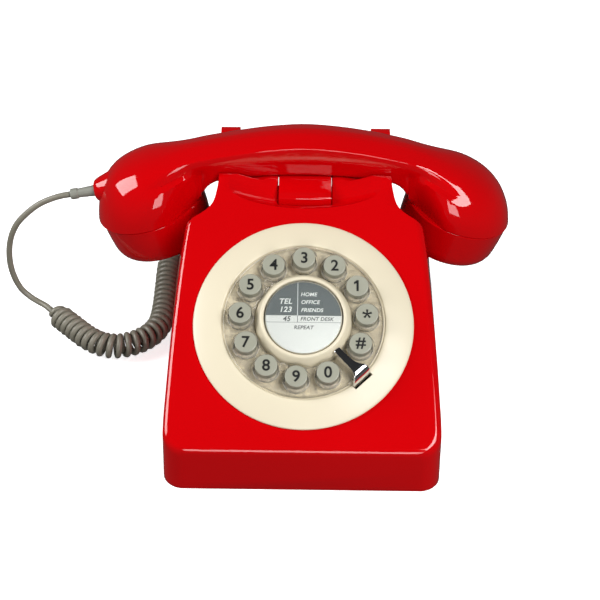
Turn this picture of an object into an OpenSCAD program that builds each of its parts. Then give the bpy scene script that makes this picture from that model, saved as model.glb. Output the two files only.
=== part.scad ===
// Push-button desk telephone in the style of a classic rotary set.
// Frame: +Z up, front at -Y, origin on the table under the middle of the set.

/* [Case] */
// Width of the case at the table
case_w = 149; // [140:1:158]
// Height of the upright skirt at the front
skirt_h = 28; // [24:1:32]
// Slope of the front face from the horizontal, in degrees
face_angle = 30.5; // [28:0.5:32]
// Wall thickness of the case
wall = 2.8; // [2:0.1:3.2]

/* [Dial] */
// Radius of the cream bezel
bezel_r = 60; // [58:0.5:62]
// Radius of the ring of keys
key_ring_r = 34.2; // [33.5:0.1:34.8]
// Radius of a key cap
key_r = 6; // [5.5:0.1:6.1]
// Angle between two keys, in degrees
key_pitch = 29; // [28.5:0.25:29]
// Height of the key tops above the face
key_top = 13; // [12:0.25:14]
// Radius of the number card
card_r = 20.8; // [20:0.1:21]

/* [Handset] */
// Height of the handle's ridge above the table
handle_top = 130.5; // [129:0.5:132]
// Half the width of the handle at its creases
handle_w = 14; // [13:0.25:14]
// Distance of each cup from the middle
cup_x = 88.5; // [88:0.25:90]
// Radius of the cups at their seams
cup_r = 31; // [30:0.25:31]
// Inward tilt of the cups, in degrees
cup_tilt = 17; // [15:0.5:19]

/* [Cord] */
// Diameter of the cord's cable
cable_d = 3.6; // [3.2:0.1:4]
// Outer diameter of the curly part
curl_d = 15; // [14:0.5:15]

/* [Hidden] */
$fn = 48;

red = [0.80, 0.03, 0.04];
cream = [0.96, 0.91, 0.80];
key_grey = [0.66, 0.67, 0.60];
cord_grey = [0.55, 0.52, 0.46];
clear = [0.85, 0.88, 0.88, 0.35];
steel = [0.75, 0.76, 0.78];
board_green = [0.10, 0.40, 0.20];

front_y = -95;
back_y = 95;
lift_gap = 0.3;
rise = tan(face_angle);
function face_z(y) = skirt_h + (y - front_y) * rise;

// The dial's place on the face
dial_y = -32.9;
module on_face() {
  translate([0, dial_y, face_z(dial_y)])
    rotate([face_angle, 0, 0])
      children();
}

// ---------- case ----------

// Half widths of the case against height: skirt, face edge, shoulder and neck
half_w = case_w / 2;
neck_w = 48.3;
case_half = [[half_w, 0], [half_w - 0.2, 35], [half_w - 0.8, 50], [half_w - 1.9, 60],
  [half_w - 3.6, 72], [half_w - 5.3, 79], [half_w - 7.2, 86], [half_w - 9.9, 93.5],
  [half_w - 11.7, 95.6], [half_w - 15, 96.9], [54, 98.6], [51.3, 100.6], [49.3, 104.2],
  [neck_w, 108], [neck_w, 125]];
function mirrored(points) = [for (i = [len(points) - 1 : -1 : 0]) [-points[i][0], points[i][1]]];

case_half_inner = [for (p = case_half) [p[0] - wall, p[1] - (p[1] > 90 ? 2.2 : 0)]];

module front_outline(half) {
  rotate([90, 0, 0])
    linear_extrude(220, center = true)
      polygon(concat(half, mirrored(half)));
}

// Extrudes an outline drawn in Y and Z along X
module across(width) {
  rotate([90, 0, 90])
    linear_extrude(width, center = true)
      children();
}

module plan_outline(inset = 0) {
  x = half_w - 13;
  y = back_y - 13;
  r = 13 - inset;
  translate([0, 0, -1])
    linear_extrude(130)
      polygon([for (c = [[1, 1, 0], [-1, 1, 90], [-1, -1, 180], [1, -1, 270]])
        for (a = [0 : 15 : 90])
          [c[0] * x + r * cos(c[2] + a), c[1] * y + r * sin(c[2] + a)]]);
}

case_side = [[front_y, 1.5], [front_y, skirt_h - 3], [front_y + 0.7, skirt_h - 0.8],
  [front_y + 2.5, face_z(front_y + 2.5)], [47.2, face_z(47.2)], [75.4, 121.6], [82, 121.6],
  [84, 119], [88, 100], [91.5, 60], [93, 46], [back_y, 42], [back_y, 1.5]];
case_side_inner = [[front_y + wall, -1], [front_y + wall, face_z(front_y + wall) - 3.4],
  [22, face_z(22) - 3.4], [28, 94.4], [47.2, 98.4], [75.4, 98.4], [80, 101], [84, 98],
  [88.5, 60], [90, 44], [back_y - wall, 40], [back_y - wall, -1]];

// Room beside the neck for the handset's cups
well = [[24.6, 140], [25.2, 97], [27.2, 62], [31, 51], [38, 45.8], [48, 44.2], [110, 44.2],
  [110, 140]];
well_outside = [[21.8, 140], [22.4, 97], [24.4, 61.4], [28.6, 49.2], [36.6, 43], [47.8, 41.4],
  [112, 41.4], [112, 140]];
module cup_wells(outline, neck) {
  for (side = [-1, 1])
    translate([side * (neck + 20), 0, 0])
      across(40)
        polygon(outline);
}

// Finger recess at the back, under the cradle
recess = [[110, 60], [74, 63], [68, 70], [66, 78], [68, 86], [74, 90], [110, 92]];
recess_outside = [[112, 57.2], [73, 60.2], [65.4, 68.8], [63.2, 78], [65.4, 87.6], [73, 92.8],
  [112, 94.8]];
module carry_recess(outline, width) {
  across(width)
    polygon(outline);
}

// The dished top of the neck that falls forward to the smile-shaped lip
dish_r = 333;
dish_tilt = 14;
module cradle_dish() {
  intersection() {
    translate([0, 26.4, 100])
      rotate([dish_tilt, 0, 0])
        translate([0, 0, dish_r])
          rotate([90, 0, 0])
            cylinder(r = dish_r, h = 240, center = true, $fn = 240);
    translate([-60, 0, 80])
      cube([120, 47.2, 60]);
  }
}

// Underside of the handle, as a height against the distance from the middle
handle_under = [[0, 106.5], [20, 105.8], [34, 104.3], [43, 103], [50, 101.3], [55, 98],
  [58, 93.5]];
function under_z(x) = lookup(abs(x), handle_under);

module cradle_notch() {
  seat = [for (x = [-60 : 4 : 60]) [x, under_z(x) - lift_gap]];
  translate([0, (46.5 + 75.6) / 2, 0])
    rotate([90, 0, 0])
      linear_extrude(75.6 - 46.5, center = true)
        polygon(concat([[60, 140], [-60, 140]], seat));
}

module cradle_trough() {
  across(66)
    polygon([[29.8, 140], [29.8, 98.6], [31.4, 97.4], [47.2, 101.4], [75.4, 101.4],
      [75.4, 140]]);
  translate([-37.4, 75, 104])
    cube([74.8, 20, 30]);
}

screw_spots = [[-58, -72], [58, -72], [-58, 72], [58, 72]];
post_h = [34.4, 34.4, 38, 38];

// Rounded humps at the lip's ends, in front of the handle
ear = [[36.3, 99], [36.6, 105.4], [38, 108.2], [41, 109.8], [44, 110.3], [46.6, 109.8], [48, 108],
  [48.3, 99]];
module ears() {
  intersection() {
    for (side = [-1, 1])
      scale([side, 1, 1])
        translate([0, 43.5, 0])
          rotate([90, 0, 0])
            linear_extrude(6, center = true)
              polygon(ear);
    across(160)
      polygon(case_side);
  }
}

module case_shell() {
  color(red)
    difference() {
      union() {
        difference() {
          intersection() {
            front_outline(case_half);
            across(160)
              polygon(case_side);
            plan_outline();
          }
          cup_wells(well, neck_w);
          cradle_dish();
          cradle_notch();
          cradle_trough();
          difference() {
            intersection() {
              front_outline(case_half_inner);
              across(160)
                polygon(case_side_inner);
              plan_outline(wall);
            }
            cup_wells(well_outside, neck_w - wall);
            carry_recess(recess_outside, 65.6);
          }
          translate([-100, -100, -2])
            cube([200, 200, 3.5]);
          carry_recess(recess, 60);
        }
        ears();
        // screw posts
        for (i = [0 : 3])
          translate([screw_spots[i][0], screw_spots[i][1], 4.4])
            cylinder(d = 8, h = post_h[i]);
      }
      for (s = screw_spots)
        translate([s[0], s[1], 4])
          cylinder(d = 2.6, h = 14);
      // dial opening, plunger slot, both jacks and the ringer slider's slot
      on_face()
        translate([0, 0, -14])
          cylinder(r = 46.6, h = 30, $fn = 96);
      translate([-15.4, 33.4, 80])
        cube([30.8, 39.2, 40]);
      for (x = [-57, 43])
        translate([x, 80, 4.2])
          cube([14, 30, 14]);
      translate([-8, 80, 9])
        cube([16, 30, 4]);
      // the finger stop's foot goes through the face
      on_face()
        rotate([0, 0, stop_angle])
          translate([45.9, 0, 0])
            cube([3.2, 12.8, 20], center = true);
    }
}

board_spots = [[-58, -50], [58, -50], [-58, -14], [58, -14]];
module base_plate() {
  color([0.16, 0.16, 0.17])
    difference() {
      union() {
        translate([0, 0, 2])
          linear_extrude(2.4)
            polygon([for (c = [[1, 1, 0], [-1, 1, 90], [-1, -1, 180], [1, -1, 270]])
              for (a = [0 : 15 : 90])
                [c[0] * 61.4 + 10 * cos(c[2] + a), c[1] * 82 + 10 * sin(c[2] + a)]]);
        for (s = board_spots)
          translate([s[0], s[1], 4]) {
            cylinder(d = 7, h = 8);
            cylinder(d = 3.1, h = 11);
          }
      }
      for (s = screw_spots) {
        translate([s[0], s[1], -1])
          cylinder(d = 3.4, h = 10);
        translate([s[0], s[1], 1])
          cylinder(d = 6.4, h = 1.9);
      }
      for (s = feet_spots)
        translate([s[0], s[1], 1])
          cylinder(d = 6, h = 8);
      for (x = [-57, -51, -45, 42.6, 48.6, 54.6])
        translate([x, 8, 1])
          cube([2.4, 24, 5]);
    }
}

feet_spots = [[-50, -50], [50, -50], [-50, 50], [50, 50]];
module rubber_feet() {
  color([0.1, 0.1, 0.1])
    for (s = feet_spots)
      translate([s[0], s[1], 0]) {
        cylinder(d = 16, h = 2);
        cylinder(d = 5.9, h = 4.4);
      }
}

module base_screws() {
  color(steel)
    for (s = screw_spots)
      translate([s[0], s[1], 1.5])
        difference() {
          union() {
            cylinder(d = 5.8, h = 1.4);
            cylinder(d = 2.6, h = 14);
          }
          for (a = [0, 90])
            rotate([0, 0, a])
              translate([-1.8, -0.4, -0.1])
                cube([3.6, 0.8, 0.9]);
        }
}

module ballast_plate() {
  color(steel)
    difference() {
      translate([-36, -80, 4.4])
        cube([72, 30, 6]);
      for (x = [-26, 26])
        translate([x, -65, 0])
          cylinder(d = 4, h = 20);
    }
}

// ---------- dial ----------

key_names = ["key_3", "key_4", "key_5", "key_6", "key_7", "key_8", "key_9", "key_0", "key_hash",
  "key_star", "key_1", "key_2"];
function key_angle(i) = i < 8 ? 90 + i * key_pitch : 90 - (12 - i) * key_pitch;
function key_index(name) = search([name], key_names)[0];
plate_h = 4;
rim_h = 5.2;

module ring_of_keys() {
  for (i = [0 : 11])
    rotate([0, 0, key_angle(i)])
      translate([key_ring_r, 0, 0])
        children();
}

stud_spots = [[29, 47.5], [29, 132.5], [29, 248.5]];
post_angles = [46.5, 133.5, 220.5, 308];
stop_angle = -46;

module dial_bezel() {
  color(cream)
    on_face()
      difference() {
        union() {
          rotate_extrude($fn = 120)
            polygon([[0, plate_h - 2.4], [43, plate_h - 2.4], [43, -6], [46.2, -6], [46.2, 0],
              [bezel_r - 0.6, 0], [bezel_r, 0.5], [bezel_r - 0.2, 1.3], [bezel_r - 3, 2.2],
              [bezel_r - 8, 3.7], [bezel_r - 12.5, 4.8], [45.4, rim_h], [44.5, rim_h - 0.3],
              [44.2, plate_h], [0, plate_h]]);
          // four posts for the key board
          for (a = post_angles)
            rotate([0, 0, a])
              translate([41, 0, -6])
                cylinder(d = 6, h = 8);
        }
        ring_of_keys()
          translate([0, 0, -10])
            cylinder(r = 6.9, h = 30);
        // the middle is open for the redial button
        translate([0, 0, -10])
          cylinder(r = 14, h = 30);
        for (a = post_angles)
          rotate([0, 0, a])
            translate([41, 0, -7])
              cylinder(d = 1.8, h = 6);
        rotate([0, 0, stop_angle])
          translate([45.9, 0, 0])
            cube([2.9, 12.4, 30], center = true);
      }
}

module clear_dial_disc() {
  color(clear)
    on_face()
      difference() {
        union() {
          rotate_extrude($fn = 120)
            polygon([[43.2, plate_h], [43.6, plate_h + 0.7],
              [43.4, plate_h + 1.9], [42.8, plate_h + 2.4], [42.2, plate_h + 1.9],
              [28.4, plate_h + 1.9], [26.5, plate_h + 1.4], [26.5, plate_h]]);
          ring_of_keys()
            translate([0, 0, plate_h])
              cylinder(r = 7.4, h = 5.4);
          for (s = stud_spots)
            rotate([0, 0, s[1]])
              translate([s[0], 0, plate_h])
                cylinder(r = 2.2, h = 4.2);
        }
        ring_of_keys()
          cylinder(r = 6.4, h = 30);
        // gap for the finger stop's foot
        rotate([0, 0, stop_angle])
          translate([46.4, 0, 6])
            cube([8, 14, 20], center = true);
      }
}

module hub_ring() {
  color(cream)
    on_face()
      rotate_extrude($fn = 96)
        polygon([[21.4, plate_h], [26.2, plate_h], [26.2, plate_h + 2.6],
          [25.6, plate_h + 4.4], [24.6, plate_h + 6], [23.8, plate_h + 7.4], [23, plate_h + 8.2],
          [22.2, plate_h + 8.4], [21.4, plate_h + 8]]);
}

// Button that carries the card: its head, its sleeve and the flange that stops it
module redial_plate() {
  color(cream)
    on_face()
      difference() {
        union() {
          translate([0, 0, 9.4])
            cylinder(r = card_r, h = 1.4, $fn = 96);
          translate([0, 0, -1.6])
            cylinder(r = 12, h = 11.2);
          translate([0, 0, 0.2])
            cylinder(r = 15.6, h = 1.2);
        }
        translate([0, 0, -3])
          cylinder(r = 10, h = 12.2);
      }
}

module number_card() {
  color([0.36, 0.42, 0.45])
    on_face()
      translate([0, 0, 10.8])
        cylinder(r = card_r - 0.3, h = 0.3, $fn = 96);
}

module card_lens() {
  color(clear)
    on_face()
      translate([0, 0, 11.1])
        rotate_extrude($fn = 96)
          polygon([[0, 0], [card_r, 0], [card_r, 0.7], [card_r - 0.8, 1.3], [12, 1.7], [0, 1.9]]);
}

// Chromed hook over the ring, its foot through the bezel's slot
module finger_stop() {
  color([0.8, 0.8, 0.82])
    on_face()
      rotate([0, 0, stop_angle]) {
        translate([0, 0, 11.2])
          linear_extrude(1.3)
            polygon([[25.3, 1.9], [25.3, -1.6], [30, -1.8], [36, -2], [40.6, -2.4], [42.6, -3],
              [42.6, 5.4], [41.4, 5.2], [39.4, 3.4], [36, 2.4], [30, 2.1]]);
        translate([0, 1.2, 0])
          rotate([90, 0, 0])
            linear_extrude(8.4, center = true)
              polygon([[42, 12.5], [43, 12.5], [47.2, 7], [47.2, 5], [44.6, 5], [44.6, 7],
                [42, 11.2]]);
        translate([44.6, -6.2, -8])
          cube([2.6, 12.4, 14.4]);
      }
}

module key(name) {
  color(key_grey)
    on_face()
      rotate([0, 0, key_angle(key_index(name))])
        translate([key_ring_r, 0, 0]) {
          translate([0, 0, -1])
            cylinder(r = key_r, h = key_top + 0.4);
          translate([0, 0, key_top - 0.6])
            cylinder(r1 = key_r, r2 = key_r - 0.6, h = 0.6);
          // flange that stops under the plate, and the foot on the dome
          translate([0, 0, 0.2])
            cylinder(r = 7.2, h = 1.2);
          translate([0, 0, -1.6])
            cylinder(r = 2.2, h = 1);
        }
}

module key_membrane() {
  color([0.3, 0.3, 0.32])
    on_face()
      difference() {
        union() {
          translate([0, 0, -4.8])
            cylinder(r = 42.5, h = 0.9, $fn = 96);
          ring_of_keys()
            translate([0, 0, -4.4])
              cylinder(r1 = 4.6, r2 = 3.4, h = 0.8);
          translate([0, 0, -4.4])
            cylinder(r = 12, h = 0.8);
        }
        for (a = post_angles)
          rotate([0, 0, a])
            translate([41, 0, -8])
              cylinder(d = 6.6, h = 8);
      }
}

module key_board() {
  color(board_green)
    on_face()
      translate([0, 0, -7.6])
        difference() {
          cylinder(r = 45, h = 1.6, $fn = 96);
          for (a = post_angles)
            rotate([0, 0, a])
              translate([41, 0, -1])
                cylinder(d = 2.2, h = 4);
          rotate([0, 0, stop_angle])
            translate([45.9, 0, 0])
              cube([6, 13, 10], center = true);
        }
}

module key_board_screws() {
  color(steel)
    on_face()
      for (a = post_angles)
        rotate([0, 0, a])
          translate([41, 0, -9]) {
            cylinder(d = 4, h = 1.4);
            cylinder(d = 1.8, h = 6);
          }
}

// ---------- inside the case ----------

module main_board() {
  color(board_green)
    difference() {
      translate([-62, -54, 12])
        cube([124, 44, 1.6]);
      for (s = board_spots)
        translate([s[0], s[1], 0])
          cylinder(d = 3.2, h = 30);
    }
}

module board_parts() {
  color([0.25, 0.25, 0.27]) {
    translate([-50, -46, 13.6])
      cube([22, 18, 14]);
    translate([-16, -44, 13.6])
      cube([16, 8, 3]);
    for (x = [8, 20, 32])
      translate([x, -38, 13.6])
        cylinder(d = 8, h = 11);
    translate([40, -46, 13.6])
      cube([10, 20, 8]);
    translate([-20, -24, 13.6])
      cube([40, 8, 6]);
  }
}

// Modular jack with its mouth facing back
module jack(x, wide) {
  translate([x, 0, 0])
    difference() {
      translate([-6.6, 76, 4.4])
        cube([13.2, 18.8, 13.6]);
      translate([-wide / 2, 80, 8])
        cube([wide, 20, 7.4]);
      translate([-3.4, 80, 15])
        cube([6.8, 20, 1.6]);
    }
}

module line_socket() {
  color([0.15, 0.15, 0.16])
    jack(50, 9.8);
}

module handset_socket() {
  color([0.15, 0.15, 0.16])
    jack(-50, 7.9);
}

// Hook switch: the bar under the handle rides up on its spring when the handset is lifted
module hook_plunger() {
  color(red) {
    across(29.6)
      polygon([[34, 88], [34, 100.4], [34.5, 101.5], [35.6, 102.1], [47.4, 105.1], [48.6, 105.6],
        [71.2, 105.6], [72, 104.8], [72, 97], [62.5, 97], [62.5, 88]]);
    translate([-18, 34, 88])
      cube([36, 28.5, 2.6]);
    for (x = [-9, 9])
      translate([x, 42, 80])
        cylinder(d = 5, h = 8.4);
  }
}

module hook_bracket() {
  color(steel)
    difference() {
      union() {
        translate([-24, 36, 66])
          cube([48, 24, 1.4]);
        for (x = [-24, 22.6])
          translate([x, 48, 4.4])
            cube([1.4, 12, 61.8]);
        for (x = [4, 12.6])
          translate([x, 54, 67])
            cube([1.4, 6, 10]);
      }
      translate([0, 57, 74])
        rotate([0, 90, 0])
          cylinder(d = 2.1, h = 40);
    }
}

module hook_lever() {
  color([0.9, 0.9, 0.86])
    difference() {
      union() {
        translate([5.8, 40, 76.8])
          cube([6.4, 17, 2.8]);
        translate([5.8, 57, 74])
          rotate([0, 90, 0])
            cylinder(d = 7, h = 6.4);
        translate([5.8, 55, 74])
          cube([6.4, 2, 4]);
      }
      translate([0, 57, 74])
        rotate([0, 90, 0])
          cylinder(d = 2.1, h = 40);
    }
}

module hook_pin() {
  color(steel)
    translate([3, 57, 74])
      rotate([0, 90, 0])
        cylinder(d = 2, h = 12);
}

// Compression spring under the plunger's left leg
spring_turns = 7;
module hook_spring() {
  z_low = 67.4;
  z_high = 80;
  steps = 10 * spring_turns;
  wire = 0.45;
  coil = 2.6;
  points = [for (i = [0 : steps]) let (a = 36 * i)
    [coil * cos(a), coil * sin(a), z_low + wire + (z_high - z_low - 2 * wire) * i / steps]];
  color(steel)
    translate([-9, 42, 0])
      sweep(points, wire, 6);
}

module hook_switch() {
  color([0.12, 0.12, 0.13]) {
    translate([4, 38, 67.4])
      cube([10, 12, 6]);
    translate([9, 43, 73])
      cylinder(d = 1.8, h = 3.5);
  }
}

gong_x = 33;
gong_y = 20;
module ringer_frame() {
  color(steel)
    difference() {
      union() {
        translate([-44, -8, 4.4])
          cube([88, 40, 1.6]);
        for (x = [-gong_x, gong_x])
          translate([x, gong_y, 5])
            cylinder(d = 7, h = 17.1);
        translate([-9, 4, 5])
          cube([18, 1.6, 21.2]);
        for (z = [16, 24.6])
          translate([-3, 5, z])
            cube([6, 7, 1.6]);
      }
      translate([0, 8.6, 10])
        cylinder(d = 2.1, h = 20);
      for (x = [-gong_x, gong_x])
        translate([x, gong_y, 12])
          cylinder(d = 3, h = 20);
    }
}

module ringer_coil() {
  color([0.6, 0.35, 0.2])
    for (x = [-9, 9])
      translate([x, -1.5, 6]) {
        cylinder(d = 9, h = 16);
        cylinder(d = 11, h = 1.2);
        translate([0, 0, 14.8])
          cylinder(d = 11, h = 1.2);
      }
}

module gong(x) {
  color([0.72, 0.62, 0.4])
    translate([x, gong_y, 0])
      difference() {
        rotate_extrude($fn = 72)
          polygon([[1.6, 22.1], [8, 22.1], [16, 20.8], [21.5, 17.6], [24.4, 12.6], [25.4, 12.6],
            [22.6, 18.6], [16.6, 22.2], [8, 23.5], [1.6, 23.5]]);
        cylinder(r = 1.7, h = 40);
      }
}

module gong_left() {
  gong(-gong_x);
}

module gong_right() {
  gong(gong_x);
}

module gong_screws() {
  color(steel)
    for (x = [-gong_x, gong_x])
      translate([x, gong_y, 0]) {
        translate([0, 0, 14.4])
          cylinder(d = 3, h = 9.2);
        translate([0, 0, 23.5])
          cylinder(d = 6, h = 1.8);
      }
}

// Armature and hammer, swinging about an upright pin between the gongs
module clapper() {
  color(steel)
    difference() {
      union() {
        translate([0, 8.6, 17.9])
          cylinder(d = 5, h = 6.4);
        translate([-0.8, 8.6, 18.6])
          cube([1.6, 13, 3]);
        translate([0, 22.4, 12.6])
          cylinder(r = 4.6, h = 8);
      }
      translate([0, 8.6, 10])
        cylinder(d = 2.1, h = 20);
    }
}

module clapper_pin() {
  color(steel)
    translate([0, 8.6, 15])
      cylinder(d = 2, h = 12);
}

module ringer_switch() {
  color([0.15, 0.15, 0.16])
    translate([-9, 84, 4.4])
      difference() {
        cube([18, 8.2, 11.2]);
        translate([2, 4, 4.4])
          cube([14, 6, 4.6]);
      }
}

module ringer_slider() {
  color(red) {
    translate([-3, 88.2, 9])
      cube([6, 3.4, 4.2]);
    translate([-2.4, 90, 9.6])
      cube([4.8, 6.8, 2.8]);
  }
}

// ---------- handset ----------

handset_y = 61;
ridge = [[-118.4, 80], [-117, 87], [-113, 96.5], [-107, 103], [-100, 108], [-92, 111.6],
  [-80, 115.6], [-69, 119], [-55, 122.4], [-38, 126], [-20, 129], [0, handle_top], [20, 129],
  [38, 126], [55, 122], [67, 118.3], [80, 113], [90, 108], [98, 102.6], [105, 96.2],
  [111, 88.5], [115, 82], [117.4, 76.4], [118.4, 74]];
seam_z0 = 80;
seam_rise = tan(cup_tilt);
function seam_z(x) = seam_z0 + (cup_x - abs(x)) * seam_rise;
function smooth(t) = t <= 0 ? 0 : t >= 1 ? 1 : t * t * (3 - 2 * t);
function cup_half(x) = let (t = (abs(x) - cup_x) / 30) cup_r * sqrt(max(0.002, 1 - t * t));
function inner_edge() = cup_x - cup_r * cos(cup_tilt);

// Half section of the handset at x, from the ridge down to the underside
function bottom_z(x) = abs(x) < 58.8 ? under_z(x) : seam_z(x);
function handle_half(x) = let (t = lookup(x, ridge), b = bottom_z(x), w = handle_w)
  [[2.9, t], [w - 5.5, t - 1.4], [w, t - 3.2], [w + 0.2, t - 8], [w, t - 13],
    [w - 0.6, max(t - 17, b + 3)], [w - 1.4, b + 2.2], [w - 4, b]];
function cup_section(x) = let (t = lookup(x, ridge), s = seam_z(x), w = cup_half(x), h = t - s)
  [[w * 0.2, s + h * 0.985], [w * 0.46, s + h * 0.91], [w * 0.7, s + h * 0.75],
    [w * 0.86, s + h * 0.56], [w * 0.95, s + h * 0.36], [w * 0.99, s + h * 0.18],
    [w, s + h * 0.06], [w, s]];
function narrow(x, w) = abs(x) < 58.8 ? w : min(w, cup_half(x));
function blend_half(x) = let (m = smooth((abs(x) - 56) / 16), a = handle_half(x),
    b = cup_section(x))
  [for (i = [0 : 7]) let (p = a[i] * (1 - m) + b[i] * m) i < 6 ? p : [narrow(x, p[0]), p[1]]];
function handset_ring(x) = let (h = blend_half(x))
  concat([for (i = [0 : 7]) [x, handset_y + h[i][0], h[i][1]]],
    [for (i = [7 : -1 : 0]) [x, handset_y - h[i][0], h[i][1]]]);

half_stations = [4, 12, 20, 28, 36, 43, 50, 54, 57, 58.7, 58.9, 61, 64, 67, 70, 74, 78, 83, 88,
  93, 98, 103, 107, 111, 114.5, 117, 118.4];
stations = concat([for (i = [len(half_stations) - 1 : -1 : 0]) -half_stations[i]], half_stations);

// Closed skin over a list of rings with the same number of points
module skin(rings) {
  n = len(rings[0]);
  m = len(rings);
  sides = [for (i = [0 : m - 2]) for (j = [0 : n - 1]) let (k = (j + 1) % n) each
    [[i * n + j, i * n + k, (i + 1) * n + k], [i * n + j, (i + 1) * n + k, (i + 1) * n + j]]];
  near = [[for (j = [n - 1 : -1 : 0]) j]];
  far = [[for (j = [0 : n - 1]) (m - 1) * n + j]];
  polyhedron(points = [for (r = rings) each r], faces = concat(sides, near, far));
}

// Round tube of radius r along a list of points
function unit(v) = v / norm(v);
function along(p, i) = unit(p[min(i + 1, len(p) - 1)] - p[max(i - 1, 0)]);
module sweep(points, r, n) {
  skin([for (i = [0 : len(points) - 1])
    let (d = along(points, i), u = unit(cross(d, abs(d[2]) > 0.9 ? [1, 0, 0] : [0, 0, 1])),
      v = cross(d, u))
      [for (j = [0 : n - 1]) points[i] + r * (cos(360 * j / n) * v + sin(360 * j / n) * u)]]);
}

// Frame of a cup: origin in the middle of its seam, +Z into the shell
module in_cup(side) {
  translate([side * cup_x, handset_y, seam_z0])
    rotate([0, side * cup_tilt, 0])
      children();
}

// The cord leaves the left cup level with its crown, a little downhill
cord_tilt = -102;
cord_dir = [sin(cord_tilt), 0, cos(cord_tilt)];
boot_end = [-135, handset_y, 83.6];
boot_start = boot_end - 15 * cord_dir;

module handset_shell() {
  color(red)
    difference() {
      union() {
        skin([for (x = stations) handset_ring(x)]);
        translate(boot_start - 15 * cord_dir)
          rotate([0, cord_tilt, 0])
            cylinder(r1 = 9, r2 = 4.8, h = 15);
      }
      for (side = [-1, 1])
        in_cup(side) {
          translate([0, 0, -1])
            cylinder(r = 25.5, h = 5.2);
          cylinder(r = 22, h = 10);
          translate([-side * 7, 0, 5])
            cylinder(r = 13.5, h = 13.5);
        }
      // duct for the wires, along the arch of the handle
      translate([0, handset_y, handle_top - 12.5 - 200])
        rotate([90, 0, 0])
          rotate([0, 0, 68])
            rotate_extrude(angle = 44, $fn = 120)
              translate([200, 0])
                circle(r = 8, $fn = 32);
      translate(boot_start - 30 * cord_dir)
        rotate([0, cord_tilt, 0])
          cylinder(r = 2.4, h = 40);
    }
}

module cap(side) {
  color(red)
    in_cup(side)
      difference() {
        rotate_extrude($fn = 96)
          polygon([[0, -22.6], [12, -22.4], [21, -21.6], [25.8, -20.2], [28.3, -17.6],
            [29.4, -14], [30.3, -7], [cup_r - 0.2, 0], [25.4, 0], [25.4, 4], [23.4, 4],
            [23.4, -3], [25.4, -6], [25.4, -12], [24, -16.4], [20, -18.6], [12, -19.4],
            [0, -19.6]]);
        for (a = [0 : 60 : 300])
          rotate([0, 0, a])
            translate([9, 0, -30])
              cylinder(d = 2.4, h = 20);
        translate([0, 0, -30])
          cylinder(d = 2.4, h = 20);
      }
}

module mouth_cap() {
  cap(-1);
}

module ear_cap() {
  cap(1);
}

module microphone_capsule() {
  color([0.15, 0.15, 0.16])
    in_cup(-1)
      difference() {
        union() {
          translate([0, 0, -19.4])
            cylinder(r = 12, h = 10);
          translate([0, 0, -11])
            cylinder(r = 25.3, h = 2.4);
        }
        // sound port behind the holes in the cap
        translate([0, 0, -20])
          cylinder(r = 10.6, h = 1.6);
      }
}

module receiver_capsule() {
  color(steel)
    in_cup(1) {
      translate([0, 0, -17.4])
        difference() {
          cylinder(r = 22, h = 6.6);
          translate([0, 0, -1])
            cylinder(r = 12, h = 2);
        }
      translate([0, 0, -10.8])
        cylinder(r = 14, h = 8);
    }
}

module handset_weight() {
  color(steel)
    in_cup(1)
      translate([0, 0, 1.6])
        cylinder(r = 21.8, h = 8.4);
}

// ---------- cord ----------

module cord_boot() {
  color([0.56, 0.56, 0.52])
    translate(boot_start)
      rotate([0, cord_tilt, 0])
        rotate_extrude()
          polygon([[0, -9], [2.4, -9], [2.4, 0], [3.3, 0], [3.1, 3], [2.7, 10.4], [3.2, 11],
            [3.2, 14.4], [2.9, 15], [0, 15]]);
}

lead_route = concat([boot_end, boot_end + 6 * cord_dir],
  [[-148, 61, 79.6], [-155, 61, 75.6], [-162, 60.5, 69.6], [-168, 60, 62.5], [-172, 60, 53.5],
  [-174, 60, 43.5], [-174.2, 60, 33], [-172.6, 60, 23.5], [-169.4, 59.6, 15.6],
  [-164.6, 58.6, 10.6], [-159.6, 56.6, 8.2], [-155.1, 53.8, 7.6], [-151.5, 50, 7.6]]);
coil_route = [[-151.5, 50, 7.6], [-144.3, 42.4, 7.6], [-134.2, 31.6, 7.6], [-126, 23.2, 7.6],
  [-117.6, 17.6, 7.6], [-109.4, 16, 7.6], [-101.6, 17.8, 7.6], [-94, 22.4, 7.6],
  [-87.6, 30, 7.6], [-84.2, 40, 7.6], [-83.2, 52, 7.6], [-83, 64, 7.6], [-83, 76, 7.6],
  [-83, 88, 7.6], [-82.4, 99, 7.6], [-79, 108, 7.6]];
tail_route = [[-79, 108, 7.6], [-77.3, 112.5, 7.6], [-74, 116.4, 8], [-68.6, 118.6, 8.8],
  [-62, 118, 10], [-56, 115, 11.2], [-51.6, 109.6, 12], [-50, 103.4, 12], [-50, 97.4, 12]];

module cord_lead() {
  color(cord_grey)
    sweep(lead_route, cable_d / 2, 8);
}

module cord_coil() {
  color(cord_grey)
    sweep(coil_route, curl_d / 2, 12);
}

module cord_tail() {
  color(cord_grey)
    sweep(tail_route, cable_d / 2, 8);
}

module cord_plug() {
  color([0.85, 0.87, 0.85, 0.6]) {
    translate([-53.8, 82, 8.2])
      cube([7.6, 15.4, 6.6]);
    translate([-51.6, 84, 14.8])
      cube([3.2, 12, 1]);
  }
}

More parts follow.
